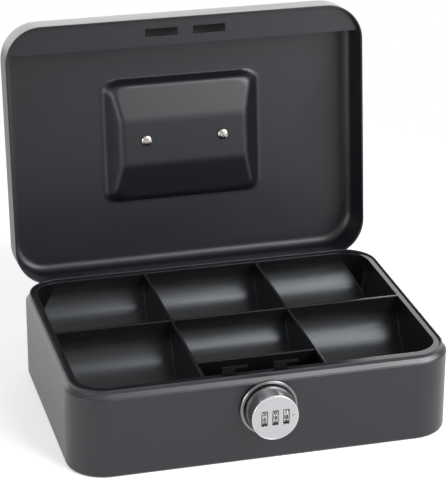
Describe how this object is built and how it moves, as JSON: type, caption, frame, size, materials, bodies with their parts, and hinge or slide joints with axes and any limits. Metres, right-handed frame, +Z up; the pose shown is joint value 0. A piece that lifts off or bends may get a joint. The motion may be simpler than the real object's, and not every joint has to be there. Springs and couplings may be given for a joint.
{
  "type": "cash box",
  "caption": "Low steel cash box with rounded corners, hinged lid with a sunken handle, lift-out coin tray and a turning combination-lock knob on its front.",
  "frame": {"origin": "middle of the base's flat underside, where the box stands", "axes": "+X to the right along the width seen from the front, -Y out of the front with the lock, +Z up; the lid stands open behind the base"},
  "size_m": [0.25, 0.2518, 0.2291],
  "materials": {
    "charcoal_case": "satin charcoal powder coat",
    "charcoal_lid": "satin charcoal powder coat",
    "charcoal_hinge": "satin charcoal powder coat",
    "black_plastic": "matte black moulded plastic",
    "black_latch": "matte black",
    "zinc_steel": "zinc plated",
    "chrome": "polished chrome",
    "satin_face": "satin silver",
    "nickel_screws": "bright nickel plate",
    "black_handle": "satin black",
    "number_wheels": "pale plastic with plain digits"
  },
  "bodies": {
    "base": {"base_shell": "charcoal_case", "tray_clips": "zinc_steel", "base_hinge_leaf": "charcoal_hinge", "hinge_pin": "zinc_steel", "lock_housing": "chrome", "lock_washer": "zinc_steel", "lock_nut": "zinc_steel", "lock_case": "black_latch"},
    "lid": {"lid_shell": "charcoal_lid", "lid_latch_strip": "charcoal_lid", "lid_hinge_leaf": "charcoal_hinge", "lid_hinge_backing": "charcoal_hinge", "handle_posts": "black_handle", "handle_screws": "nickel_screws"},
    "handle": {"carry_handle": "black_handle"},
    "tray": {"coin_tray": "black_plastic"},
    "knob": {"lock_knob": "chrome", "knob_face_plate": "satin_face", "wheel_axle": "zinc_steel", "detent_spring": "zinc_steel", "drive_shaft": "zinc_steel", "cam_arm": "zinc_steel", "cam_screw": "zinc_steel"},
    "latch": {"latch_slide": "black_latch"},
    "wheel_left": {"number_wheel_left": "number_wheels"},
    "wheel_middle": {"number_wheel_middle": "number_wheels"},
    "wheel_right": {"number_wheel_right": "number_wheels"}
  },
  "joints": [
    {"name": "lid_hinge", "type": "hinge", "parent": "base", "child": "lid", "pos_m": [0, 0.092, 0.0489], "axis": [-1, 0, 0], "range_deg": [-96.3, 0]},
    {"name": "handle_swing", "type": "hinge", "parent": "lid", "child": "handle", "pos_m": [0, 0.13193, 0.13906], "axis": [1, 0, 0], "range_deg": [-6, 84]},
    {"name": "tray_lift", "type": "slide", "parent": "base", "child": "tray", "axis": [0, 0, 1], "range_m": [0, 0.11]},
    {"name": "knob_turn", "type": "hinge", "parent": "base", "child": "knob", "pos_m": [0, -0.1, 0.0372], "axis": [0, 1, 0], "range_deg": [0, 60]},
    {"name": "latch_travel", "type": "slide", "parent": "base", "child": "latch", "axis": [1, 0, 0], "range_m": [0, 0.009]},
    {"name": "wheel_left_turn", "type": "hinge", "parent": "knob", "child": "wheel_left", "pos_m": [-0.00705, -0.1005, 0.0372], "axis": [1, 0, 0], "continuous": true},
    {"name": "wheel_middle_turn", "type": "hinge", "parent": "knob", "child": "wheel_middle", "pos_m": [0, -0.1005, 0.0372], "axis": [1, 0, 0], "continuous": true},
    {"name": "wheel_right_turn", "type": "hinge", "parent": "knob", "child": "wheel_right", "pos_m": [0.00705, -0.1005, 0.0372], "axis": [1, 0, 0], "continuous": true}
  ],
  "couplings": [
    {"joint": "latch_travel", "follows": "knob_turn", "m_per_rad": 0.0085943}
  ]
}
